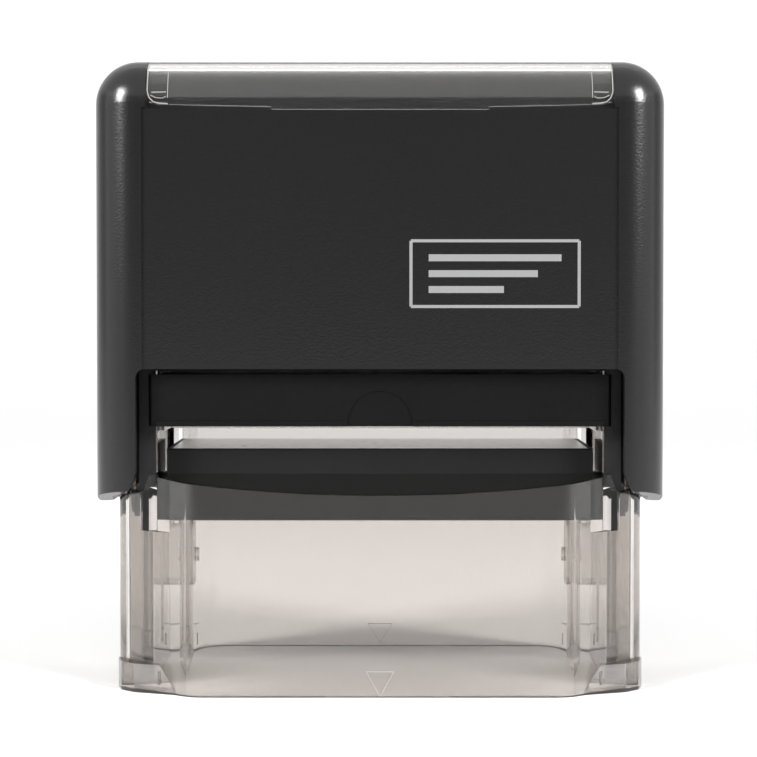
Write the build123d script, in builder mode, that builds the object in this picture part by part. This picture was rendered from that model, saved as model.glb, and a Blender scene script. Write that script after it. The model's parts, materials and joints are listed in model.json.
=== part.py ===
"""Self inking office stamp for a 59 x 23 mm text plate.

Frame: millimetres, +Z up, front faces -Y, origin at the middle of the bottom rim, so the
stamp stands on z = 0.  The stamp is drawn at rest: hood up, text plate up against the pad.
"""
import os
from math import cos, pi, sin

from build123d import *

# ---- driving dimensions -----------------------------------------------------------------
HEIGHT = 86.0            # table to the top of the hood
HOOD_X = 39.1            # half width of the hood
HOOD_Y = 19.0            # half depth of the hood
HOOD_ROUND = 6.0         # round on the hood's corners and top edges
HOOD_WALL = 2.0
HOOD_FOOT_Z = 25.3       # lower end of the hood's two cheeks
PANEL_Z = 43.9           # lower edge of the hood's front and rear panels
PANEL_X = 32.3           # half width of the slightly sunk panel
PANEL_SINK = 0.3
CHEEK_X = 33.2           # inner edge of a cheek
CEILING_Z = 83.2         # underside of the hood's top

BASE_X = 36.2            # half width of the base
BASE_Y = 24.0            # half depth of the base
BASE_CORNER_X = 10.6     # corner bevels of the base, along X and along Y
BASE_CORNER_Y = 10.6
BASE_ROUND = 4.5         # round on the upright edges of the bevels
BASE_WALL = 1.6
BASE_FRONT_MID_Z = 27.1  # the front wall's upper edge, at its middle and beside the cheeks
BASE_FRONT_END_Z = 29.4
BASE_REAR_Z = 36.0
DECK_Z = 43.5            # top of the base's side frames, where the bridge sits

STROKE = 21.6            # travel of the hood
AXLE_Z = 27.2            # axle height at rest
AXLE_R = 1.5
FACE_UP = 5.5            # axle to the outer face of the plate
BACK_DOWN = 4.8          # axle to the back of the block
PLATE_X = 29.0           # half size of the face that takes the text plate
PLATE_Y = 11.5
PLATE_T = 1.0
BLOCK_X = 29.6
BLOCK_Y = 12.0
END_T = 3.4              # thickness of the block's end pieces

INNER_X0 = 30.85         # inner wall of a side frame
INNER_X1 = 32.35
LEG_X0 = 32.6            # leg of the bow, in the channel between inner and outer wall
LEG_X1 = 34.1
LEG_Y = 9.6
LEG_FOOT_Z = 23.5
FRAME_Y = 12.5           # half depth of a side frame

LUG_X = 28.7             # inner face of the fixed cam lug
LUG_Y0 = 2.1
LUG_Y1 = 7.8
LUG_HALF_Z = 4.5
PIN_Y = 3.3              # fixed cam pin that turns the block over
PIN_R = 1.0
PIN_TIP_X = 27.2
GROOVE_R = 1.25          # half width of the groove the pin runs in
GROOVE_X = 26.9
REBATE = 1.4             # depth of the end pieces' rebate that clears the lug
REBATE_Y = 8.2
REBATE_Z = -0.9

TRAY_Z0 = 36.0
TRAY_Z1 = 43.1
TRAY_X = 30.5
TRAY_PLATE_X = 31.7
PAD_Z0 = 35.5

BRIDGE_T = 3.1
SPRING_X = 18.0
SPRING_R = 3.55          # mean coil radius
WIRE_R = 0.45
SPRING_TURNS = 9
SPRING_TOP_Z = 78.6
BOW_BAR_Z = 80.0         # underside of the bow's cross bar

CAP_X = 31.6             # half width of the window cap
CAP_T = 1.1
CAP_EDGE_Z = 79.35
CAP_LIP_X = 14.7         # pry lip in the middle of the cap's front and rear edges
CAP_LIP_DROP = 0.28
HOOK_X0 = 29.0           # snap hooks at the cap's corners
HOOK_X1 = 31.3
HOOK_Y = 17.25
HOOK_Z = 80.1
GAP = 0.15               # clearance round snapped and sliding pieces

SIDES = {"left": -1, "right": 1}
PIN_Z = AXLE_Z - STROKE / 2
BRIDGE_Z = DECK_Z + BRIDGE_T


def octagon(half_x, half_y, bevel_x, bevel_y):
    """Rectangle with bevelled corners, added to the sketch in use."""
    points = []
    for sx, sy in ((1, 1), (-1, 1), (-1, -1), (1, -1)):
        on_side = (sx * half_x, sy * (half_y - bevel_y))
        on_end = (sx * (half_x - bevel_x), sy * half_y)
        points += [on_side, on_end] if sx == sy else [on_end, on_side]
    Polygon(*points, align=None)


def span(x0, x1, y0, y1, z0, z1, mode=Mode.ADD):
    """Block between two opposite corners."""
    with Locations(((x0 + x1) / 2, (y0 + y1) / 2, (z0 + z1) / 2)):
        Box(abs(x1 - x0), abs(y1 - y0), abs(z1 - z0), mode=mode)


def rod(radius, x0, x1, y, z, mode=Mode.ADD):
    """Round bar along X."""
    with Locations(((x0 + x1) / 2, y, z)):
        Cylinder(radius, abs(x1 - x0), rotation=(0, 90, 0), mode=mode)


def pillow(inset, foot_z, top_z=HEIGHT, round_r=HOOD_ROUND):
    """Hood outline as a solid: a block with rounded corners and a rounded top."""
    with BuildPart(mode=Mode.PRIVATE) as block:
        span(-HOOD_X + inset, HOOD_X - inset, -HOOD_Y + inset, HOOD_Y - inset, foot_z, top_z)
        fillet(block.edges().filter_by(Axis.Z), round_r)
        fillet(block.faces().sort_by(Axis.Z)[-1].edges(), round_r - 0.05)
    return block.part


def finish(piece, name):
    """Label a finished piece and write its STEP file."""
    piece.part.label = name
    export_step(piece.part, f"parts/{name}.step")


os.makedirs("parts", exist_ok=True)

# ---- hood -------------------------------------------------------------------------------
TOE_ROUND = 5.2          # round on the inner lower corner of a cheek
TOE_SLOPE_Y = 10.0       # a cheek's underside rises from here to its front and rear ends
TOE_RISE = 2.0
OPENING_ROUND = 1.2      # upper corners of the openings between the cheeks
LOCK_Z = 53.0            # lock button in the middle of the rear panel
LOCK_X = 7.0
LOCK_HALF_Z = 3.0
INDEX_X = 28.0           # pocket under the cap that an index card lies in
INDEX_Y = 12.0
INDEX_T = 0.6

hood_outer = pillow(0, HOOD_FOOT_Z)
hood_hollow = pillow(HOOD_WALL, HOOD_FOOT_Z - 1, CEILING_Z, HOOD_ROUND - HOOD_WALL)
recess_inset = CAP_T + GAP / 2
recess_core = pillow(recess_inset, CAP_EDGE_Z - 2, HEIGHT - recess_inset, HOOD_ROUND - CAP_T)

with BuildPart() as hood_shell:
    add(hood_outer)
    add(hood_hollow, mode=Mode.SUBTRACT)
    # front and rear openings between the cheeks, in one cut, with rounded upper corners
    with BuildSketch(Plane.XZ) as opening:
        with Locations((0, (PANEL_Z + HOOD_FOOT_Z - 1) / 2)):
            Rectangle(2 * CHEEK_X, PANEL_Z - HOOD_FOOT_Z + 1)
        fillet(opening.vertices().group_by(Axis.Y)[-1], OPENING_ROUND)
    extrude(amount=HOOD_Y + 1, both=True, mode=Mode.SUBTRACT)
    # each cheek's inner lower corner is rounded away
    for side in (-1, 1):
        with BuildSketch(Plane.XZ) as toe:
            corner = (side * (CHEEK_X + TOE_ROUND / 2), HOOD_FOOT_Z + TOE_ROUND / 2)
            with Locations(corner):
                Rectangle(TOE_ROUND + 0.2, TOE_ROUND + 0.2)
            with Locations((side * (CHEEK_X + TOE_ROUND), HOOD_FOOT_Z + TOE_ROUND)):
                Circle(TOE_ROUND, mode=Mode.SUBTRACT)
                Rectangle(0.4, 2 * TOE_ROUND + 1, mode=Mode.SUBTRACT)
                Rectangle(2 * TOE_ROUND + 1, 0.4, mode=Mode.SUBTRACT)
        extrude(amount=HOOD_Y + 1, both=True, mode=Mode.SUBTRACT)
    for end in (-1, 1):
        with BuildSketch(Plane.YZ):
            Polygon((end * TOE_SLOPE_Y, HOOD_FOOT_Z), (end * HOOD_Y, HOOD_FOOT_Z + TOE_RISE),
                    (end * (HOOD_Y + 1), HOOD_FOOT_Z + TOE_RISE), (end * (HOOD_Y + 1), HOOD_FOOT_Z - 1),
                    (end * TOE_SLOPE_Y, HOOD_FOOT_Z - 1), align=None)
        extrude(amount=HOOD_X + 1, both=True, mode=Mode.SUBTRACT)
        # the panel between the cheeks is sunk a little
        span(-PANEL_X, PANEL_X, end * (HOOD_Y - PANEL_SINK), end * (HOOD_Y + 1), PANEL_Z - 1,
             CAP_EDGE_Z, mode=Mode.SUBTRACT)
    # hole for the lock button
    span(-LOCK_X - GAP, LOCK_X + GAP, HOOD_Y - HOOD_WALL - 1, HOOD_Y + 1,
         LOCK_Z - LOCK_HALF_Z - GAP, LOCK_Z + LOCK_HALF_Z + GAP, mode=Mode.SUBTRACT)
    # recess that the window cap lies in, over the top and down both panels
    recess_band = Box(2 * (CAP_X + GAP), 2 * HOOD_Y + 2, HEIGHT - CAP_EDGE_Z + GAP + 1, mode=Mode.PRIVATE)
    recess_band = Pos(0, 0, (HEIGHT + CAP_EDGE_Z - GAP + 1) / 2) * recess_band
    lip_band = Box(2 * (CAP_LIP_X + GAP), 2 * HOOD_Y + 2, 4, mode=Mode.PRIVATE)
    lip_band = Pos(0, 0, CAP_EDGE_Z - CAP_LIP_DROP - GAP + 2) * lip_band
    add(recess_band + lip_band - recess_core, mode=Mode.SUBTRACT)
    # pockets for the cap's hooks, open at the top, and the shallow pocket for an index card
    for side in (-1, 1):
        for end in (-1, 1):
            span(side * (HOOK_X0 - GAP), side * (HOOK_X1 + GAP), end * (HOOK_Y - GAP), end * (HOOD_Y + 1),
                 HOOK_Z - GAP, HEIGHT + 1, mode=Mode.SUBTRACT)
    with BuildSketch(Plane.XY.offset(HEIGHT)):
        RectangleRounded(2 * INDEX_X, 2 * INDEX_Y, 1.5)
    extrude(amount=-recess_inset - INDEX_T, mode=Mode.SUBTRACT)
finish(hood_shell, "hood_shell")

# ---- window cap: clear cover over the index recess --------------------------------------
CAP_CORNER = 1.7
CAP_BOW = 0.5            # the lower edge hangs lower in its middle
HOOK_TOP_Z = HEIGHT - 1.4

cap_outer = pillow(0, CAP_EDGE_Z - 2)
cap_middle = pillow(CAP_T / 2, CAP_EDGE_Z - 2, HEIGHT - CAP_T / 2, HOOD_ROUND - CAP_T / 2)
cap_core = pillow(CAP_T, CAP_EDGE_Z - 2, HEIGHT - CAP_T, HOOD_ROUND - CAP_T)

with BuildPart() as hooks:
    for side in (-1, 1):
        for end in (-1, 1):
            span(side * HOOK_X0, side * HOOK_X1, end * HOOK_Y, end * HOOD_Y, HOOK_Z, HOOK_TOP_Z)
    add(cap_middle, mode=Mode.INTERSECT)

with BuildPart() as window_cap:
    add(cap_outer)
    add(cap_core, mode=Mode.SUBTRACT)
    with BuildSketch(Plane.XZ) as cap_outline:
        with BuildLine():
            rim = ThreePointArc((CAP_X, CAP_EDGE_Z + CAP_BOW), (0, CAP_EDGE_Z),
                                (-CAP_X, CAP_EDGE_Z + CAP_BOW))
            Polyline(rim @ 1, (-CAP_X, HEIGHT + 1), (CAP_X, HEIGHT + 1), rim @ 0)
        make_face()
        fillet(cap_outline.vertices().group_by(Axis.Y)[0], CAP_CORNER)
        with Locations((0, CAP_EDGE_Z + 0.5)):
            Rectangle(2 * CAP_LIP_X, 1 + 2 * CAP_LIP_DROP)
    extrude(amount=HOOD_Y + 1, both=True, mode=Mode.INTERSECT)
    add(hooks.part)
finish(window_cap, "window_cap")

# ---- lock button: flanged push button in the rear panel ----------------------------------
LOCK_PROUD = 0.25
LOCK_FLANGE = 1.0        # the flange stands out this far round the button, inside the panel
LOCK_BACK_Y = 15.0       # inner face of the flange
LOCK_ROUND = 0.8
RIB_PITCH = 2.4          # grip grooves across the button's face
RIB_SIZE = (0.8, 0.5, 4.0)
lock_face_y = HOOD_Y + LOCK_PROUD - PANEL_SINK
panel_inner_y = HOOD_Y - HOOD_WALL

with BuildPart() as lock_button:
    span(-LOCK_X, LOCK_X, LOCK_BACK_Y, lock_face_y, LOCK_Z - LOCK_HALF_Z, LOCK_Z + LOCK_HALF_Z)
    fillet(lock_button.edges().filter_by(Axis.Y), LOCK_ROUND)
    fillet(lock_button.faces().sort_by(Axis.Y)[-1].edges(), LOCK_ROUND / 2)
    span(-LOCK_X - LOCK_FLANGE, LOCK_X + LOCK_FLANGE, LOCK_BACK_Y, panel_inner_y - 0.1,
         LOCK_Z - LOCK_HALF_Z - LOCK_FLANGE, LOCK_Z + LOCK_HALF_Z + LOCK_FLANGE)
    for step in range(-2, 3):
        with Locations((step * RIB_PITCH, lock_face_y, LOCK_Z)):
            Box(*RIB_SIZE, mode=Mode.SUBTRACT)
finish(lock_button, "lock_button")

# ---- bow: inner frame under the hood's top, whose two legs carry the axle ----------------
BUSH_R = 3.0
FIN_X0 = 31.0            # guide fins beside the drawer's opening, thin walls of the bow
FIN_X1 = 33.3
FIN_Y0 = 12.8
FIN_Y1 = 13.6
BOW_FOOT_ROUND = 2.5
BOW_SHOULDER = 1.0       # chamfer that clears the round inside the hood's top
BOW_SLOT = (18, 8, 20)   # lightening slot in the cross bar
SPRING_SPIGOT_R = 2.0    # holes that the spring caps plug into

with BuildPart() as actuator_bow:
    span(-LEG_X1, LEG_X1, -LEG_Y, LEG_Y, BOW_BAR_Z, CEILING_Z)
    for side in (-1, 1):
        span(side * LEG_X0, side * LEG_X1, -LEG_Y, LEG_Y, LEG_FOOT_Z, BOW_BAR_Z)
        span(side * FIN_X0, side * LEG_X1, -FIN_Y1, -LEG_Y, BOW_BAR_Z, CEILING_Z)
        span(side * FIN_X0, side * FIN_X1, -FIN_Y1, -FIN_Y0, LEG_FOOT_Z, BOW_BAR_Z)
        with Locations((side * SPRING_X, 0, BOW_BAR_Z)):
            Cylinder(SPRING_SPIGOT_R, 2 * (CEILING_Z - BOW_BAR_Z), mode=Mode.SUBTRACT)
    feet = actuator_bow.edges().filter_by(Axis.X).group_by(Axis.Z)[0]
    fillet(feet.filter_by_position(Axis.Y, -LEG_Y - 0.1, LEG_Y + 0.1), BOW_FOOT_ROUND)
    ends = actuator_bow.faces().filter_by(Axis.X).filter_by_position(Axis.X, -LEG_X1, LEG_X1).sort_by(Axis.X)
    chamfer([ends[side].edges().filter_by(Axis.Y).sort_by(Axis.Z)[-1] for side in (0, -1)], BOW_SHOULDER)
    rod(BUSH_R, -LEG_X1 - 1, LEG_X1 + 1, 0, AXLE_Z, mode=Mode.SUBTRACT)
    with Locations((0, 0, CEILING_Z)):
        Box(*BOW_SLOT, mode=Mode.SUBTRACT)
finish(actuator_bow, "actuator_bow")

for side_name, side in SIDES.items():
    with BuildPart() as axle_bush:
        rod(BUSH_R, side * LEG_X0, side * LEG_X1, 0, AXLE_Z)
        rod(AXLE_R + 0.05, side * (LEG_X0 - 1), side * (LEG_X1 + 1), 0, AXLE_Z, mode=Mode.SUBTRACT)
    finish(axle_bush, f"axle_bush_{side_name}")

# ---- springs with their upper caps and lower guide posts ---------------------------------
SPRING_CAP_R = 4.4
SPIGOT_R = 2.8
SPIGOT_L = 1.6
PLUG_R = SPRING_SPIGOT_R - 0.1
PLUG_L = 2.0
POST_R = 2.6
POST_TOP_Z = 54.6
POST_POINT = 0.8
LOWER_COIL_Z = BRIDGE_Z + WIRE_R
UPPER_COIL_Z = SPRING_TOP_Z - WIRE_R

for side_name, side in SIDES.items():
    centre = Plane.XY.offset(SPRING_TOP_Z).shift_origin((side * SPRING_X, 0, SPRING_TOP_Z))
    with BuildPart() as spring_cap:
        with BuildSketch(centre):
            Circle(SPRING_CAP_R)
        extrude(amount=BOW_BAR_Z - SPRING_TOP_Z)
        with BuildSketch(centre):
            Circle(SPIGOT_R)
        extrude(amount=-SPIGOT_L)
        chamfer(spring_cap.faces().sort_by(Axis.Z)[0].edges(), 0.4)
        with BuildSketch(Plane.XY.offset(BOW_BAR_Z).shift_origin((side * SPRING_X, 0, BOW_BAR_Z))):
            Circle(PLUG_R)
        extrude(amount=PLUG_L)
    finish(spring_cap, f"spring_cap_{side_name}")

    with BuildPart() as spring_guide:
        with BuildSketch(Plane.XY.offset(BRIDGE_Z).shift_origin((side * SPRING_X, 0, BRIDGE_Z))):
            Circle(POST_R)
        extrude(amount=POST_TOP_Z - BRIDGE_Z)
        chamfer(spring_guide.faces().sort_by(Axis.Z)[-1].edges(), POST_POINT)
    finish(spring_guide, f"spring_guide_{side_name}")

    pitch = (UPPER_COIL_Z - LOWER_COIL_Z) / SPRING_TURNS
    with BuildPart() as return_spring:
        with BuildLine():
            coil = Helix(pitch, UPPER_COIL_Z - LOWER_COIL_Z, SPRING_R,
                         center=(side * SPRING_X, 0, LOWER_COIL_Z))
        with BuildSketch(Plane(origin=coil @ 0, z_dir=coil % 0)):
            Circle(WIRE_R)
        sweep(is_frenet=True)
    finish(return_spring, f"return_spring_{side_name}")

# ---- base: clear frame the hood slides on ------------------------------------------------
SIDE_WALL = 1.4
SLOT_HALF = AXLE_R + 0.25   # half width of the axle's slot
RAIL_X = 29.9            # rails that carry the ink pad tray
RAIL_Z = 35.9
CUT_Y0 = HOOD_Y - HOOD_WALL - 0.2   # band that the hood's panels come down through
CUT_Y1 = HOOD_Y + 0.4
CUT_X0 = 27.6
CUT_Z = PANEL_Z - STROKE - 0.5
FOOT_Z = 3.9             # feet fill out the corner bevels below this height
FOOT_X0 = 27.2           # a foot's inner end at the table and at its top
FOOT_X1 = 29.8
FOOT_OUTLINE = (         # one foot in plan; the last two points lie inside the bevel wall
    (FOOT_X0, 22.2), (33.4, 19.7), (35.4, 17.4), (36.1, 14.6), (36.1, 13.4), (30.0, 18.0), (FOOT_X0, 21.0)
)
EDGE_HIGH_X = BASE_X - 4.6   # the front wall's upper edge is highest here
EDGE_STEP = 0.8
LUG_ROUND = 0.9

with BuildPart() as feet:
    with BuildSketch():
        for side in (-1, 1):
            for end in (-1, 1):
                Polygon(*[(side * x, end * y) for x, y in FOOT_OUTLINE], align=None)
    extrude(amount=FOOT_Z)
    with BuildSketch(Plane.XZ):
        for side in (-1, 1):
            Polygon((side * FOOT_X0, 0), (side * (BASE_X + 1), 0), (side * (BASE_X + 1), FOOT_Z),
                    (side * FOOT_X1, FOOT_Z), align=None)
    extrude(amount=BASE_Y + 1, both=True, mode=Mode.INTERSECT)

with BuildPart() as base_frame:
    with BuildSketch() as base_ring:
        octagon(BASE_X, BASE_Y, BASE_CORNER_X, BASE_CORNER_Y)
        fillet(base_ring.vertices(), BASE_ROUND)
        offset(amount=-BASE_WALL, mode=Mode.SUBTRACT)
    extrude(amount=DECK_Z)
    add(feet.part)
    # upper edge of the front wall: low in the middle, high beside the cheeks, low at the corners
    with BuildSketch(Plane.XZ) as front_edge:
        with BuildLine():
            sag = ThreePointArc((-EDGE_HIGH_X, BASE_FRONT_END_Z), (0, BASE_FRONT_MID_Z),
                                (EDGE_HIGH_X, BASE_FRONT_END_Z))
            Polyline(sag @ 1, (EDGE_HIGH_X + EDGE_STEP, BASE_FRONT_MID_Z), (BASE_X + 1, BASE_FRONT_MID_Z),
                     (BASE_X + 1, DECK_Z + 1), (-BASE_X - 1, DECK_Z + 1), (-BASE_X - 1, BASE_FRONT_MID_Z),
                     (-EDGE_HIGH_X - EDGE_STEP, BASE_FRONT_MID_Z), sag @ 0)
        make_face()
    extrude(amount=BASE_Y + 1, mode=Mode.SUBTRACT)
    corner_y = BASE_Y - BASE_CORNER_Y
    span(-BASE_X - 1, BASE_X + 1, corner_y, BASE_Y + 1, BASE_REAR_Z, DECK_Z + 1, mode=Mode.SUBTRACT)
    for side in (-1, 1):
        for end in (-1, 1):
            span(side * CUT_X0, side * (CHEEK_X + 0.2), end * CUT_Y0, end * CUT_Y1, CUT_Z, DECK_Z + 1,
                 mode=Mode.SUBTRACT)
    for side in (-1, 1):
        # side frame: outer wall, inner wall and the two webs that close the leg's channel
        span(side * (BASE_X - SIDE_WALL), side * BASE_X, -corner_y, corner_y, BASE_FRONT_MID_Z - 1, DECK_Z)
        span(side * INNER_X0, side * INNER_X1, -FRAME_Y, FRAME_Y, 0, DECK_Z)
        for end in (-1, 1):
            span(side * INNER_X0, side * (BASE_X - 0.5), end * (LEG_Y + 0.4), end * FRAME_Y, 0, DECK_Z)
        span(side * RAIL_X, side * INNER_X0, -FRAME_Y, FRAME_Y, RAIL_Z - 0.8, RAIL_Z)
        # slot that the axle runs down
        span(side * (INNER_X0 - 1), side * (INNER_X1 + 0.1), -SLOT_HALF, SLOT_HALF,
             AXLE_Z - STROKE - SLOT_HALF, AXLE_Z + SLOT_HALF, mode=Mode.SUBTRACT)
        # fixed cam: a lug with the pin that turns the block over
        with BuildSketch(Plane.YZ.offset(side * LUG_X)):
            with Locations(((LUG_Y0 + LUG_Y1) / 2, PIN_Z)):
                RectangleRounded(LUG_Y1 - LUG_Y0, 2 * LUG_HALF_Z, LUG_ROUND)
        extrude(amount=side * (INNER_X0 + 0.2 - LUG_X))
        rod(PIN_R, side * PIN_TIP_X, side * (LUG_X + 1), PIN_Y, PIN_Z)
finish(base_frame, "base_frame")

# ---- bridge across the top of the base: spring seat and roof of the pad's drawer ----------
BRIDGE_ROUND = 1.5
POCKET_Y = 16.0          # length of the weight-saving pockets between and beside the springs
POCKET_FLOOR = 1.2
INNER_POCKET = (5.5, 8.0)    # centre and width of a pocket
OUTER_POCKET = (25.2, 5.0)

with BuildPart() as pad_bridge:
    span(-INNER_X1, INNER_X1, -FRAME_Y, FRAME_Y, DECK_Z, BRIDGE_Z)
    fillet(pad_bridge.edges().filter_by(Axis.Z), BRIDGE_ROUND)
    with BuildSketch(Plane.XY.offset(BRIDGE_Z)):
        for centre_x, width in (INNER_POCKET, OUTER_POCKET):
            with Locations((-centre_x, 0), (centre_x, 0)):
                RectangleRounded(width, POCKET_Y, BRIDGE_ROUND)
    extrude(amount=-BRIDGE_T + POCKET_FLOOR, mode=Mode.SUBTRACT)
finish(pad_bridge, "pad_bridge")

# ---- ink pad: drawer that pulls out forwards, with the foam pad facing down ----------------
TRAY_FRONT_Y = -16.4
TRAY_REAR_Y = 13.0
PLATE_BACK_Y = -15.0
PAD_X = 29.2
PAD_Y = 11.8
PAD_TOP_Z = 41.6
THUMB_R = 4.45           # thumb mark in the middle of the drawer's front
THUMB_DEPTH = 0.15
TRAY_LIP_Y = 0.3
TRAY_LIP_Z = 0.7

with BuildPart() as ink_pad_tray:
    span(-TRAY_X, TRAY_X, PLATE_BACK_Y, TRAY_REAR_Y, TRAY_Z0, TRAY_Z1)
    span(-PAD_X - 0.1, PAD_X + 0.1, -PAD_Y - 0.1, PAD_Y + 0.1, TRAY_Z0 - 1, PAD_TOP_Z, mode=Mode.SUBTRACT)
    span(-TRAY_PLATE_X, TRAY_PLATE_X, TRAY_FRONT_Y, PLATE_BACK_Y, TRAY_Z0, TRAY_Z1)
    fillet(ink_pad_tray.edges().filter_by(Axis.Z).group_by(Axis.Y)[0], 0.6)
    # lip along the lower edge and a shallow thumb mark
    span(-TRAY_PLATE_X + 1, TRAY_PLATE_X - 1, TRAY_FRONT_Y - TRAY_LIP_Y, TRAY_FRONT_Y,
         TRAY_Z0, TRAY_Z0 + TRAY_LIP_Z)
    with BuildSketch(Plane.XZ.offset(-TRAY_FRONT_Y - THUMB_DEPTH)):
        with Locations((0, TRAY_Z0 + 0.4)):
            Circle(THUMB_R)
    extrude(amount=2 * THUMB_DEPTH + TRAY_LIP_Y, mode=Mode.SUBTRACT)
finish(ink_pad_tray, "ink_pad_tray")

with BuildPart() as ink_pad:
    span(-PAD_X, PAD_X, -PAD_Y, PAD_Y, PAD_Z0, PAD_TOP_Z)
    fillet(ink_pad.edges().filter_by(Axis.Z), 1.0)
    fillet(ink_pad.faces().sort_by(Axis.Z)[0].edges(), 0.35)
finish(ink_pad, "ink_pad")

# ---- text plate block, which turns half a turn on its way down ------------------------------
BLOCK_SIDE_Z = 2.0       # the block's sides are upright above this height over the axle
BLOCK_BACK_Y = 9.6
BACK_ROUND = 1.5
FACE_ROUND = 0.3
POCKET_PITCH = 17.0      # moulded pockets in the block's back
POCKET_SIDE = 14.0


def block_outline():
    """Cross-section of the block, added to a sketch on a YZ plane."""
    face_z = AXLE_Z + FACE_UP
    side_z = AXLE_Z + BLOCK_SIDE_Z
    back_z = AXLE_Z - BACK_DOWN
    Polygon((-BLOCK_Y, side_z), (-BLOCK_BACK_Y, back_z), (BLOCK_BACK_Y, back_z), (BLOCK_Y, side_z),
            (BLOCK_Y, face_z), (-BLOCK_Y, face_z), align=None)


with BuildPart() as die_block:
    with BuildSketch(Plane.YZ):
        block_outline()
    extrude(amount=BLOCK_X - END_T, both=True)
    fillet(die_block.edges().filter_by(Axis.X).group_by(Axis.Z)[0], BACK_ROUND)
    fillet(die_block.edges().filter_by(Axis.X).group_by(Axis.Z)[-1], FACE_ROUND)
    rod(AXLE_R, -BLOCK_X, BLOCK_X, 0, AXLE_Z, mode=Mode.SUBTRACT)
    span(-PLATE_X, PLATE_X, -PLATE_Y, PLATE_Y, AXLE_Z + FACE_UP - PLATE_T, AXLE_Z + FACE_UP + 1,
         mode=Mode.SUBTRACT)
    with BuildSketch(Plane.XY.offset(AXLE_Z - BACK_DOWN)):
        with GridLocations(POCKET_PITCH, 1, 3, 1):
            RectangleRounded(POCKET_SIDE, POCKET_SIDE, BACK_ROUND)
    extrude(amount=BACK_DOWN - AXLE_R - 1.0, mode=Mode.SUBTRACT)
finish(die_block, "die_block")


def groove_point(turn):
    """Where the fixed pin stands in the block's own frame, with the block turned this far."""
    drop = STROKE * turn / pi - STROKE / 2
    return (PIN_Y * cos(turn) + drop * sin(turn), AXLE_Z - PIN_Y * sin(turn) + drop * cos(turn))


for side_name, side in SIDES.items():
    with BuildPart() as die_end:
        with BuildSketch(Plane.YZ.offset(side * (BLOCK_X - END_T))):
            block_outline()
        extrude(amount=side * END_T)
        fillet(die_end.edges().filter_by(Axis.X).group_by(Axis.Z)[0], BACK_ROUND)
        fillet(die_end.edges().filter_by(Axis.X).group_by(Axis.Z)[-1], FACE_ROUND)
        rod(AXLE_R, side * (BLOCK_X - END_T - 1), side * (BLOCK_X + 1), 0, AXLE_Z, mode=Mode.SUBTRACT)
        span(side * (BLOCK_X - END_T - 1), side * PLATE_X, -PLATE_Y, PLATE_Y,
             AXLE_Z + FACE_UP - PLATE_T, AXLE_Z + FACE_UP + 1, mode=Mode.SUBTRACT)
        span(side * (BLOCK_X - REBATE), side * (BLOCK_X + 1), -REBATE_Y, REBATE_Y,
             AXLE_Z - BACK_DOWN - 1, AXLE_Z + REBATE_Z, mode=Mode.SUBTRACT)
        with BuildSketch(Plane.YZ.offset(side * GROOVE_X)):
            with BuildLine() as groove:
                Spline([groove_point(pi * step / 12) for step in range(13)])
            trace(line_width=2 * GROOVE_R)
        extrude(amount=side * END_T, mode=Mode.SUBTRACT)
    finish(die_end, f"die_end_{side_name}")

with BuildPart() as plate_foam:
    span(-PLATE_X, PLATE_X, -PLATE_Y, PLATE_Y, AXLE_Z + FACE_UP - PLATE_T, AXLE_Z + FACE_UP)
finish(plate_foam, "plate_foam")

with BuildPart() as die_axle:
    rod(AXLE_R, -LEG_X1, LEG_X1, 0, AXLE_Z)
    chamfer(die_axle.edges().filter_by(GeomType.CIRCLE), 0.3)
finish(die_axle, "die_axle")
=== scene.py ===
"""Looks of the self inking stamp: materials, springs, print marks, studio and camera."""

import json
import math

import bmesh
import bpy
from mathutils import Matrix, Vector
from mathutils.bvhtree import BVHTree


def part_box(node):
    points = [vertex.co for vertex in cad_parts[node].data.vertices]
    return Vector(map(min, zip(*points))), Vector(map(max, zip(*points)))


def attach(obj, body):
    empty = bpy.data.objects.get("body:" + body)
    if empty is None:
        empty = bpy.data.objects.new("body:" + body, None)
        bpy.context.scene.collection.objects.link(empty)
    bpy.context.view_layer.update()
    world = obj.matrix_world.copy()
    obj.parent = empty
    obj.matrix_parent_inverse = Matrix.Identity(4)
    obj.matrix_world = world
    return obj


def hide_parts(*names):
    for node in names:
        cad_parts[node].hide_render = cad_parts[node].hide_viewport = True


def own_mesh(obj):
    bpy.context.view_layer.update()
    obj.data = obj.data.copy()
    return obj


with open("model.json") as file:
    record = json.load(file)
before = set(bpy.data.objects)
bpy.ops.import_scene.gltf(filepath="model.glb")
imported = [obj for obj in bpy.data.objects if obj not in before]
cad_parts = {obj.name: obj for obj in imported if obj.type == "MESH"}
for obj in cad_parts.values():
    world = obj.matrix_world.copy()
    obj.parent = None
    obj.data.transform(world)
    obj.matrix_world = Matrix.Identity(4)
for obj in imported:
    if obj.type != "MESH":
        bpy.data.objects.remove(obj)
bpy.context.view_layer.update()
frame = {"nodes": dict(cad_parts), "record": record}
MM = 0.001

# ---- camera and studio ---------------------------------------------------------------------
CAMERA_Y = -0.322
CAMERA_Z = 0.0522
LENS = 106.3             # on a 36 mm wide sensor
AIM_DROP = 0.03154       # the aim falls this much for each metre ahead
AIM_SIDE = -0.00067

PAPER = (0.565, 0.565, 0.565)
# grey that the painted shade on the floor blends towards
SHADED_PAPER = (0.26, 0.26, 0.26)
PAINTED_FLOOR_SHADE = (                 # painted shade on the floor: from Y, to Y, share of the shade grey that is added
    (-0.08, -0.3, 1.0),
    (0.25, 0.5, 0.25),
    (1.2, 1.7, -0.25),
)

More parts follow.
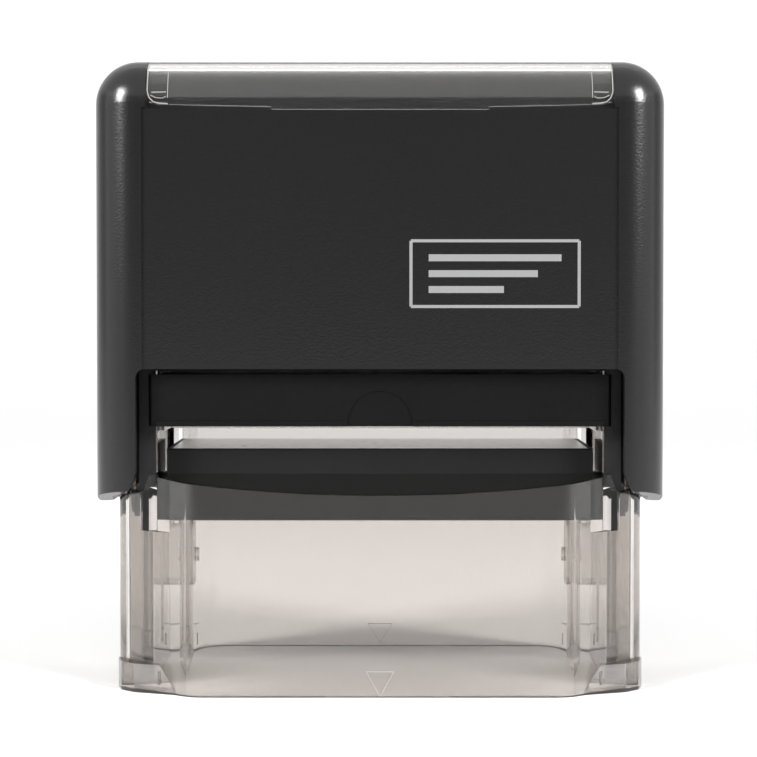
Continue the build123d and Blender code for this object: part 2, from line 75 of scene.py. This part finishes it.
LAMPS = (                        # name, place, target, width and height, watts
    ("key_left", (-0.73, -0.61, 0.485), (0, 0, 0.05), (0.30, 0.43), 20.0),
    ("key_right", (0.73, -0.61, 0.485), (0, 0, 0.05), (0.30, 0.43), 20.0),
    ("backdrop_wash", (0.0, 0.9, 1.6), (0, 2.7, 0.45), (1.8, 0.5), 41.0),
    ("side_left", (-1.56, -0.33, 0.4), (0, 0, 0.05), (1.0, 0.8), 2.4),
    ("side_right", (1.56, -0.33, 0.4), (0, 0, 0.05), (1.0, 0.8), 2.4),
)


def new_object(name, bm, material, smooth=False):
    """An object made of the finished bm, which is freed."""
    bmesh.ops.recalc_face_normals(bm, faces=bm.faces)
    mesh = bpy.data.meshes.new(name)
    bm.to_mesh(mesh)
    bm.free()
    for polygon in mesh.polygons:
        polygon.use_smooth = smooth
    mesh.materials.append(material)
    made = bpy.data.objects.new(name, mesh)
    bpy.context.collection.objects.link(made)
    return made


def add_camera():
    camera = bpy.data.objects.new("camera", bpy.data.cameras.new("camera"))
    bpy.context.collection.objects.link(camera)
    camera.data.lens = LENS
    camera.data.sensor_width = 36.0
    camera.data.clip_start = 0.01
    camera.location = (0.0, CAMERA_Y, CAMERA_Z)
    aim = Vector((AIM_SIDE, 1.0, -AIM_DROP))
    camera.rotation_euler = aim.to_track_quat("-Z", "Y").to_euler()
    bpy.context.scene.camera = camera


def add_area(name, location, target, size, power):
    light = bpy.data.lights.new(name, "AREA")
    light.shape = "RECTANGLE"
    light.size, light.size_y = size
    light.energy = power
    lamp = bpy.data.objects.new(name, light)
    bpy.context.collection.objects.link(lamp)
    lamp.location = location
    aim = Vector(target) - Vector(location)
    lamp.rotation_euler = aim.to_track_quat("-Z", "Y").to_euler()


def add_sweep():
    """Pale floor that turns up into a backdrop in one curve, all round the object, with painted shade
    towards the camera and in a band behind it.
    """
    bm = bmesh.new()
    flat_radius = 2.0
    bend_radius = 0.8
    bend_steps = 12
    top = 1.05
    around = 96
    profile = [(radius, 0.0) for radius in (0.02, 0.1, 0.4, 1.0, flat_radius)]
    for step in range(1, bend_steps + 1):
        turn = math.pi / 2 * step / bend_steps
        out, up = bend_radius * math.sin(turn), bend_radius * (1 - math.cos(turn))
        profile.append((flat_radius + out, up))
    profile.append((flat_radius + bend_radius, top))
    loops = []
    for radius, height in profile:
        loops.append([bm.verts.new((radius * math.cos(2 * math.pi * k / around),
                                    radius * math.sin(2 * math.pi * k / around), height))
                      for k in range(around)])
    bm.faces.new(loops[0])
    for lower, upper in zip(loops, loops[1:]):
        for k in range(around):
            bm.faces.new((lower[k], upper[k], upper[(k + 1) % around], lower[(k + 1) % around]))
    paper = Recipe("paper_floor", PAPER, 0.9, Specular_IOR_Level=0.0)
    split = paper.node("ShaderNodeSeparateXYZ")
    paper.link(paper.place, split.inputs["Vector"])
    # painted shade: the floor colour is blended towards a darker grey in the listed Y bands
    painted_shade = None
    for start, end, share in PAINTED_FLOOR_SHADE:
        shade = paper.ramp(split.outputs["Y"], start, end, 0.0, share)
        painted_shade = paper.total(painted_shade, shade) if painted_shade else shade
    paper.blend_colors(painted_shade, PAPER, SHADED_PAPER)
    new_object("floor", bm, paper.material, smooth=True)


def set_world():
    world = bpy.data.worlds.new("studio")
    bpy.context.scene.world = world
    world.use_nodes = True
    background = world.node_tree.nodes["Background"]
    background.inputs["Color"].default_value = (1, 1, 1, 1)
    background.inputs["Strength"].default_value = 1.0
    view = bpy.context.scene.view_settings
    view.view_transform = "Standard"


# ---- materials -----------------------------------------------------------------------------
class Recipe:
    """A node material with a Principled shader and a few helpers to feed it."""

    def __init__(self, name, color, roughness, **sockets):
        self.material = bpy.data.materials.new(name)
        self.material.use_nodes = True
        self.tree = self.material.node_tree
        self.shader = self.tree.nodes["Principled BSDF"]
        self.shader.inputs["Base Color"].default_value = (*color, 1)
        self.shader.inputs["Roughness"].default_value = roughness
        for socket, value in sockets.items():
            self.shader.inputs[socket.replace("_", " ")].default_value = value
        self.place = self.node("ShaderNodeTexCoord").outputs["Object"]

    def node(self, kind, **values):
        made = self.tree.nodes.new(kind)
        for key, value in values.items():
            setattr(made, key, value)
        return made

    def link(self, source, target):
        self.tree.links.new(source, target)

    def noise(self, scale, detail=3.0, stretch=None):
        made = self.node("ShaderNodeTexNoise")
        made.inputs["Scale"].default_value = scale
        made.inputs["Detail"].default_value = detail
        place = self.place
        if stretch:
            mapping = self.node("ShaderNodeMapping")
            mapping.inputs["Scale"].default_value = stretch
            self.link(place, mapping.inputs["Vector"])
            place = mapping.outputs["Vector"]
        self.link(place, made.inputs["Vector"])
        return made.outputs["Fac"]

    def spots(self, scale):
        made = self.node("ShaderNodeTexVoronoi")
        made.inputs["Scale"].default_value = scale
        self.link(self.place, made.inputs["Vector"])
        return made.outputs["Distance"]

    def ramp(self, source, low, high, start, end):
        """Maps source from low..high to start..end, clamped."""
        made = self.node("ShaderNodeMapRange")
        made.inputs["From Min"].default_value = low
        made.inputs["From Max"].default_value = high
        made.inputs["To Min"].default_value = start
        made.inputs["To Max"].default_value = end
        self.link(source, made.inputs["Value"])
        return made.outputs["Result"]

    def total(self, first, second):
        made = self.node("ShaderNodeMath", operation="ADD")
        self.link(first, made.inputs[0])
        self.link(second, made.inputs[1])
        return made.outputs[0]

    def blend_colors(self, factor, first, second):
        made = self.node("ShaderNodeMix", data_type="RGBA")
        made.inputs[6].default_value = (*first, 1)
        made.inputs[7].default_value = (*second, 1)
        self.link(factor, made.inputs[0])
        self.link(made.outputs[2], self.shader.inputs["Base Color"])

    def roughen(self, source, low, high, start, end):
        """Roughness from start to end as source goes from low to high."""
        self.link(self.ramp(source, low, high, start, end), self.shader.inputs["Roughness"])

    def let_lamps_through(self, tint):
        """Lamps reach what is behind the clear plastic, dimmed by tint at each face."""
        through = self.node("ShaderNodeBsdfTransparent")
        through.inputs["Color"].default_value = (*tint, 1)
        mixed = self.node("ShaderNodeMixShader")
        self.link(self.node("ShaderNodeLightPath").outputs["Is Shadow Ray"], mixed.inputs[0])
        self.link(self.shader.outputs["BSDF"], mixed.inputs[1])
        self.link(through.outputs["BSDF"], mixed.inputs[2])
        output = next(n for n in self.tree.nodes if n.bl_idname == "ShaderNodeOutputMaterial")
        self.link(mixed.outputs["Shader"], output.inputs["Surface"])

    def bump(self, height, distance, strength=1.0):
        made = self.node("ShaderNodeBump")
        made.inputs["Distance"].default_value = distance
        made.inputs["Strength"].default_value = strength
        self.link(height, made.inputs["Height"])
        self.link(made.outputs["Normal"], self.shader.inputs["Normal"])


def fine_plastic(name, color, roughness, grain_scale, grain_height, gloss=0.36):
    """Opaque moulded plastic with a fine grain and slightly uneven gloss."""
    recipe = Recipe(name, color, roughness, Specular_IOR_Level=gloss)
    grain = recipe.noise(grain_scale, 4.0)
    recipe.bump(grain, grain_height)
    patch = recipe.noise(60.0, 2.0)
    recipe.roughen(patch, 0.3, 0.7, roughness - 0.04, roughness + 0.05)
    lighter = tuple(c * 1.35 for c in color)
    recipe.blend_colors(recipe.ramp(grain, 0.35, 0.75, 0.0, 1.0), color, lighter)
    return recipe.material


def hood_plastic():
    """Spark-eroded black; the recess under the clear cap is left polished."""
    recipe = Recipe("hood_plastic", (0.005, 0.005, 0.0053), 0.22, Specular_IOR_Level=0.45)
    split = recipe.node("ShaderNodeSeparateXYZ")
    recipe.link(recipe.place, split.inputs["Vector"])
    cap_low, cap_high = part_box("window_cap")
    above = recipe.ramp(split.outputs["Z"], cap_low[2] - 0.1 * MM, cap_low[2], 0.0, 1.0)
    aside = recipe.node("ShaderNodeMath", operation="ABSOLUTE")
    recipe.link(split.outputs["X"], aside.inputs[0])
    between = recipe.ramp(aside.outputs[0], cap_high[0], cap_high[0] + 0.2 * MM, 1.0, 0.0)
    under_cap = recipe.node("ShaderNodeMath", operation="MULTIPLY")
    recipe.link(above, under_cap.inputs[0])
    recipe.link(between, under_cap.inputs[1])
    grain = recipe.noise(3600.0, 2.0)
    height = recipe.node("ShaderNodeMix", data_type="FLOAT")
    recipe.link(under_cap.outputs[0], height.inputs[0])
    recipe.link(grain, height.inputs[2])
    height.inputs[3].default_value = 0.5
    recipe.bump(height.outputs[0], 0.000018)
    recipe.roughen(recipe.noise(14.0, 1.0), 0.3, 0.7, 0.21, 0.23)
    pits, peaks = (0.0043, 0.0043, 0.0046), (0.0053, 0.0053, 0.0056)
    recipe.blend_colors(recipe.ramp(grain, 0.35, 0.75, 0.0, 1.0), pits, peaks)
    return recipe.material


def clear_plastic(name, tint, roughness=0.006, smoke=None, passes=(0.9, 0.9, 0.9)):
    """Moulded clear plastic; smoke is (colour, density per metre) of what it absorbs inside.

    Each face dims the lamps by passes, and tints what is seen through it by tint.
    """
    recipe = Recipe(name, tint, roughness, Transmission_Weight=1.0, IOR=1.49)
    if smoke:
        inside = recipe.node("ShaderNodeVolumeAbsorption")
        inside.inputs["Color"].default_value = (*smoke[0], 1)
        inside.inputs["Density"].default_value = smoke[1]
        output = next(n for n in recipe.tree.nodes if n.bl_idname == "ShaderNodeOutputMaterial")
        recipe.link(inside.outputs["Volume"], output.inputs["Volume"])
    recipe.let_lamps_through(passes)
    flow = recipe.noise(45.0, 2.0, (1.0, 1.0, 0.35))
    recipe.bump(flow, 0.00002, 0.3)
    recipe.roughen(recipe.noise(90.0, 3.0), 0.5, 0.8, roughness, 1.5 * roughness + 0.004)
    return recipe.material


def foam(name, color, dark, pore_scale, roughness=0.9, gloss=0.2, pore_depth=0.0002):
    """Dense foam with a pored skin and darker specks."""
    recipe = Recipe(name, color, roughness, Specular_IOR_Level=gloss)
    pores = recipe.spots(pore_scale)
    recipe.bump(pores, pore_depth, 0.6)
    dust = recipe.noise(700.0, 5.0)
    recipe.blend_colors(recipe.ramp(dust, 0.56, 0.7, 0.0, 1.0), color, dark)
    return recipe.material


def metal(name, color, roughness, lay):
    """Bare metal; lay stretches the scratches along X, Y and Z."""
    recipe = Recipe(name, color, roughness, Metallic=1.0)
    scratches = recipe.noise(900.0, 3.0, lay)
    recipe.bump(scratches, 0.00003, 0.5)
    recipe.roughen(scratches, 0.3, 0.7, roughness - 0.06, roughness + 0.08)
    return recipe.material


# one for each slot of the record
MATERIALS = {
    "hood_plastic": hood_plastic(),
    "frame_plastic": fine_plastic("frame_plastic", (0.009, 0.009, 0.010), 0.38, 1500.0, 0.00003),
    "button_plastic": fine_plastic("button_plastic", (0.014, 0.014, 0.015), 0.45, 3000.0, 0.00005),
    "tray_plastic": fine_plastic("tray_plastic", (0.0025, 0.0025, 0.0025), 0.34, 1800.0, 0.00001, 0.13),
    "block_plastic": fine_plastic("block_plastic", (0.003, 0.003, 0.003), 0.5, 1800.0, 0.000004, 0.2),
    "bush_plastic": fine_plastic("bush_plastic", (0.62, 0.61, 0.55), 0.35, 1500.0, 0.00002),
    "window_plastic": clear_plastic("window_plastic", (0.93, 0.92, 0.90)),
    "base_plastic": clear_plastic("base_plastic", (0.80, 0.77, 0.745), 0.006, ((0.55, 0.53, 0.51), 100.0),
                                  (0.32, 0.305, 0.295)),
    "pad_foam": foam("pad_foam", (0.80, 0.78, 0.75), (0.70, 0.68, 0.65), 1600.0),
    "plate_foam": foam("plate_foam", (0.80, 0.74, 0.67), (0.55, 0.50, 0.44), 1500.0, 0.22, 0.7, 0.000006),
    "steel": metal("steel", (0.60, 0.60, 0.61), 0.28, (1.0, 0.05, 0.05)),
    "spring_steel": metal("spring_steel", (0.52, 0.52, 0.54), 0.3, (1.0, 1.0, 1.0)),
}
PRINT_MATERIAL = Recipe("grey_print", (0.14, 0.14, 0.14), 0.55).material
# the cap ribs are real moulded ribs; their grey tone is a painted highlight where light catches the hook
# edges
RIB_HIGHLIGHT_MATERIAL = Recipe("rib_painted_highlight", (0.25, 0.25, 0.24), 0.35, Transmission_Weight=0.3, IOR=1.49).material
MARK_MATERIAL = Recipe("frosted_mark", (0.42, 0.40, 0.39), 0.5, Transmission_Weight=0.35, IOR=1.3).material

# width in millimetres of the small bevel on each node's sharp edges
EDGE_BREAKS = {
    "hood_shell": 0.12,
    "ink_pad_tray": 0.1,
    "window_cap": 0.12,
    "base_frame": 0.12,
    "die_block": 0.1,
}


def dress_nodes():
    for entry in frame["record"]["subparts"]:
        node = frame["nodes"][entry["node"]]
        node.data.materials.clear()
        node.data.materials.append(MATERIALS[entry["material_slot"]])
        if entry["node"] in EDGE_BREAKS:
            edge_break = node.modifiers.new("edge_break", "BEVEL")
            edge_break.width = EDGE_BREAKS[entry["node"]] * MM
            edge_break.segments = 2
            edge_break.limit_method = "ANGLE"
            edge_break.angle_limit = math.radians(45)


# ---- springs -------------------------------------------------------------------------------
def add_spring(node):
    """Compression spring with closed end coils."""
    low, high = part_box(node)
    centre_x = (low[0] + high[0]) / 2
    outer = (high[0] - low[0]) / 2
    wire = 0.45 * MM
    radius = outer - wire
    turns = 9.0
    end_turns = 1.0
    curve_steps = int(turns * 28)
    sides = 10
    height = high[2] - low[2] - 2 * wire
    bm = bmesh.new()
    rings = []
    closed_rise = 2.05 * wire * end_turns
    for step in range(curve_steps + 1):
        turn = turns * step / curve_steps
        if turn < end_turns:
            rise = closed_rise * turn / end_turns
        elif turn > turns - end_turns:
            rise = height - closed_rise * (turns - turn) / end_turns
        else:
            share = (turn - end_turns) / (turns - 2 * end_turns)
            eased = share + 0.03 * math.sin(2 * math.pi * share)
            rise = closed_rise + (height - 2 * closed_rise) * eased
        angle = 2 * math.pi * turn
        out = Vector((math.cos(angle), math.sin(angle), 0.0))
        centre = Vector((centre_x, 0.0, low[2] + wire + rise)) + out * radius
        rings.append([bm.verts.new(centre + out * wire * math.cos(2 * math.pi * k / sides)
                                   + Vector((0, 0, wire * math.sin(2 * math.pi * k / sides))))
                      for k in range(sides)])
    for first, second in zip(rings, rings[1:]):
        for k in range(sides):
            bm.faces.new((first[k], first[(k + 1) % sides], second[(k + 1) % sides], second[k]))
    bm.faces.new(list(reversed(rings[0])))
    bm.faces.new(rings[-1])
    spring = new_object(node + "_wire", bm, MATERIALS["spring_steel"], smooth=True)
    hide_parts(node)
    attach(spring, "base")
    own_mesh(spring)


# ---- marks on the base and on the hood -------------------------------------------------------
def add_strips(name, strips, depth, body, material):
    """Thin raised lines: each strip is (start, end, width, outward normal)."""
    bm = bmesh.new()
    for start, end, width, outward in strips:
        start, end, outward = Vector(start), Vector(end), Vector(outward).normalized()
        along = (end - start).normalized()
        across = along.cross(outward) * width / 2
        foot = [start - across, start + across, end + across, end - across]
        middle = (start + end) / 2
        crown = [point + outward * depth - (point - middle) * 0.04 for point in foot]
        low = [bm.verts.new(point) for point in foot]
        high = [bm.verts.new(point) for point in crown]
        bm.faces.new(list(reversed(low)))
        bm.faces.new(high)
        for k in range(4):
            bm.faces.new((low[k], low[(k + 1) % 4], high[(k + 1) % 4], high[k]))
    piece = new_object(name, bm, material)
    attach(piece, body)


def add_alignment_marks():
    """Triangles at mid width and ticks at the text plate's ends, raised on the clear walls."""
    base_low, base_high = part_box("base_frame")
    line = 0.075 * MM
    half = 1.87 * MM
    tick_x = 29.7 * MM
    tick_y = 17.8 * MM       # on the inner faces of the corner bevels
    bevel = Vector((1.0, 1.0, 0)).normalized()
    for end, title, top, tip, side_line in ((-1, "front", 3.5 * MM, 0.15 * MM, line),
                                            (1, "rear", 3.35 * MM, 0.35 * MM, 0.4 * line)):
        y = base_low[1] if end < 0 else base_high[1]
        outward = (0, end, 0)
        corners = [(-half, y, top), (half, y, top), (0, y, tip)]
        strips = [(corners[k], corners[(k + 1) % 3], width, outward)
                  for k, width in enumerate((line, side_line, side_line))]
        for side in (-1, 1):
            into = (-side * bevel.x, -end * bevel.y, 0)
            strips.append(((side * tick_x, end * tick_y, 0.9 * MM), (side * tick_x, end * tick_y, 2.7 * MM),
                           0.45 * MM, into))
        add_strips("align_marks_" + title, strips, 0.03 * MM, "base", MARK_MATERIAL)


def add_cap_ribs():
    """Fine moulded ribs round the snap corners of the clear cap, laid on its curved skin; their grey tone
    is a painted highlight where light catches the hook edges.
    """
    cap = frame["nodes"]["window_cap"]
    skin = BVHTree.FromPolygons([cap.matrix_world @ v.co for v in cap.data.vertices],
                                [tuple(p.vertices) for p in cap.data.polygons])
    # each path is a list of (x, z) in millimetres, for one corner
    rim = [(31.48, 85.3), (31.48, 81.5), (31.2, 80.6), (30.6, 80.05), (29.8, 79.85), (28.7, 79.8)]
    tab = [(30.9, 84.75), (29.1, 84.75), (28.8, 84.5), (28.72, 84.1), (28.72, 80.6)]
    shelf = [(30.9, 81.35), (28.95, 81.4)]
    hook = [(31.0, 80.95), (30.3, 80.6), (29.4, 80.55), (28.95, 80.8)]
    bm = bmesh.new()
    for side in (-1, 1):
        for end in (-1, 1):
            for path, width in ((rim, 0.15), (tab, 0.11), (shelf, 0.16), (hook, 0.12)):
                corner_path = [(side * x * MM, z * MM) for x, z in path]
                lay_rib(bm, skin, corner_path, end, width * MM, 0.03 * MM)
    ribs = new_object("cap_ribs", bm, RIB_HIGHLIGHT_MATERIAL)
    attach(ribs, "window")


def lay_rib(bm, skin, path, end, width, height):
    """One closed rib along path, a list of (x, z), on the skin's front (end -1) or rear (1)."""
    longest_step = 0.25 * MM
    sunk = -0.01 * MM        # the rib's feet lie just inside the skin
    section = ((-1.0, sunk), (-0.6, height), (0.6, height), (1.0, sunk))
    points = []
    for (x0, z0), (x1, z1) in zip(path, path[1:]):
        steps = max(2, int(math.hypot(x1 - x0, z1 - z0) / longest_step))
        points += [(x0 + (x1 - x0) * k / steps, z0 + (z1 - z0) * k / steps) for k in range(steps)]
    points.append(path[-1])
    spots = []
    for x, z in points:
        place, normal, _, _ = skin.ray_cast(Vector((x, end * 0.1, z)), Vector((0, -end, 0)))
        if place is not None:
            spots.append((place, normal))
    rings = []
    for k, (place, normal) in enumerate(spots):
        along = (spots[min(k + 1, len(spots) - 1)][0] - spots[max(k - 1, 0)][0]).normalized()
        across = along.cross(normal).normalized() * width / 2
        rings.append([bm.verts.new(place + across * share + normal * rise)
                      for share, rise in section])
    for first, second in zip(rings, rings[1:]):
        for k in range(4):
            bm.faces.new((first[k], first[(k + 1) % 4], second[(k + 1) % 4], second[k]))
    bm.faces.new(list(reversed(rings[0])))
    bm.faces.new(rings[-1])


def add_print():
    """Generic print on the front panel: an outline shaped like the text plate, with three bars."""
    panel_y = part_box("hood_shell")[0][1] + 0.3 * MM
    left, right, low, high = 4.2 * MM, 27.0 * MM, 52.4 * MM, 61.3 * MM
    line = 0.42 * MM
    out = (0, -1, 0)
    corners = [(x, panel_y, z) for x, z in ((left, low), (right, low), (right, high), (left, high))]
    strips = [(corners[k], corners[(k + 1) % 4], line, out) for k in range(4)]
    bar_start = left + 2.4 * MM
    bar_height = 0.95 * MM
    for row, length in enumerate((18.0 * MM, 14.8 * MM, 10.2 * MM)):
        z = high - (2.3 + 2.15 * row) * MM
        strips.append(((bar_start, panel_y, z), (bar_start + length, panel_y, z), bar_height, out))
    add_strips("panel_print", strips, 0.02 * MM, "hood", PRINT_MATERIAL)


add_camera()
set_world()
add_sweep()
for lamp in LAMPS:
    add_area(*lamp)
dress_nodes()
add_alignment_marks()
add_cap_ribs()
add_print()
for spring_node in ("return_spring_left", "return_spring_right"):
    add_spring(spring_node)
